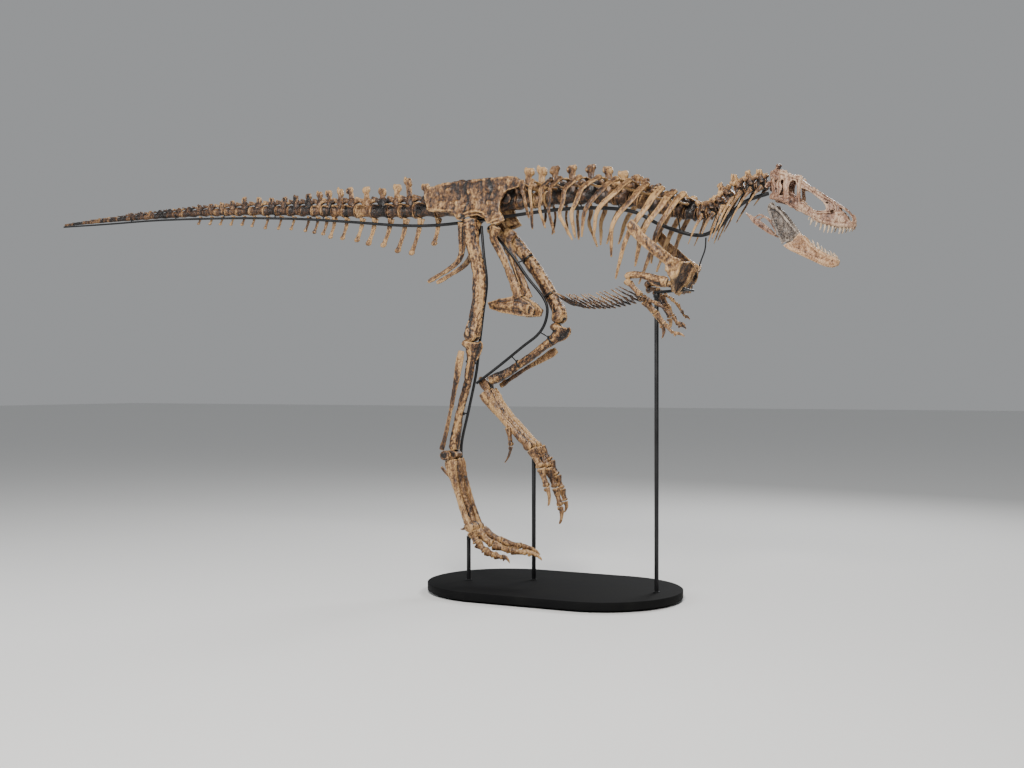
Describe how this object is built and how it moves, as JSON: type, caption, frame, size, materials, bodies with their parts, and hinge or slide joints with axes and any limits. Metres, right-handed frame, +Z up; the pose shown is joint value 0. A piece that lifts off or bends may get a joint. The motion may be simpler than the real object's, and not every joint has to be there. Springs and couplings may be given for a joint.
{
  "type": "mounted dinosaur skeleton on stand",
  "caption": "Life-size mounted skeleton of a young meat-eating dinosaur in a running pose, jaws open, carried by black steel rods and pipes on a low base with round ends",
  "frame": {"origin": "centre of the base's underside, on the floor", "axes": "+X towards the head, +Y towards the animal's left, +Z up"},
  "size_m": [6.2911, 1.08, 2.8119],
  "materials": {
    "fossil_bone": "matte",
    "skull_bone": "matte",
    "black_steel": "satin",
    "base_paint": "satin"
  },
  "bodies": {
    "root": {"ankle_left": "fossil_bone", "ankle_right": "fossil_bone", "femur_left": "fossil_bone", "femur_right": "fossil_bone", "fibula_left": "fossil_bone", "fibula_right": "fossil_bone", "furcula": "fossil_bone", "gastralia": "fossil_bone", "hand_left": "fossil_bone", "hand_right": "fossil_bone", "humerus_left": "fossil_bone", "humerus_right": "fossil_bone", "hyoid_left": "fossil_bone", "hyoid_right": "fossil_bone", "ilium_left": "fossil_bone", "ilium_right": "fossil_bone", "ischium_left": "fossil_bone", "ischium_right": "fossil_bone", "jaw_left": "skull_bone", "jaw_right": "skull_bone", "metatarsus_left": "fossil_bone", "metatarsus_right": "fossil_bone", "neck": "fossil_bone", "pubis_left": "fossil_bone", "pubis_right": "fossil_bone", "radius_left": "fossil_bone", "radius_right": "fossil_bone", "rib_cage_left": "fossil_bone", "rib_cage_right": "fossil_bone", "sacrum": "fossil_bone", "scapula_left": "fossil_bone", "scapula_right": "fossil_bone", "skull": "skull_bone", "stand_base": "base_paint", "stand_chest_bracket": "black_steel", "stand_leg_pipe_left": "black_steel", "stand_leg_pipe_right": "black_steel", "stand_rod_front": "black_steel", "stand_rod_middle": "black_steel", "stand_rod_rear": "black_steel", "stand_spine_pipe": "black_steel", "stand_wishbone_hanger": "black_steel", "tail_1": "fossil_bone", "tail_2": "fossil_bone", "tail_3": "fossil_bone", "tail_4": "fossil_bone", "tibia_left": "fossil_bone", "tibia_right": "fossil_bone", "toe_1_left": "fossil_bone", "toe_1_right": "fossil_bone", "toe_2_left": "fossil_bone", "toe_2_right": "fossil_bone", "toe_3_left": "fossil_bone", "toe_3_right": "fossil_bone", "toe_4_left": "fossil_bone", "toe_4_right": "fossil_bone", "ulna_left": "fossil_bone", "ulna_right": "fossil_bone"}
  },
  "joints": []
}
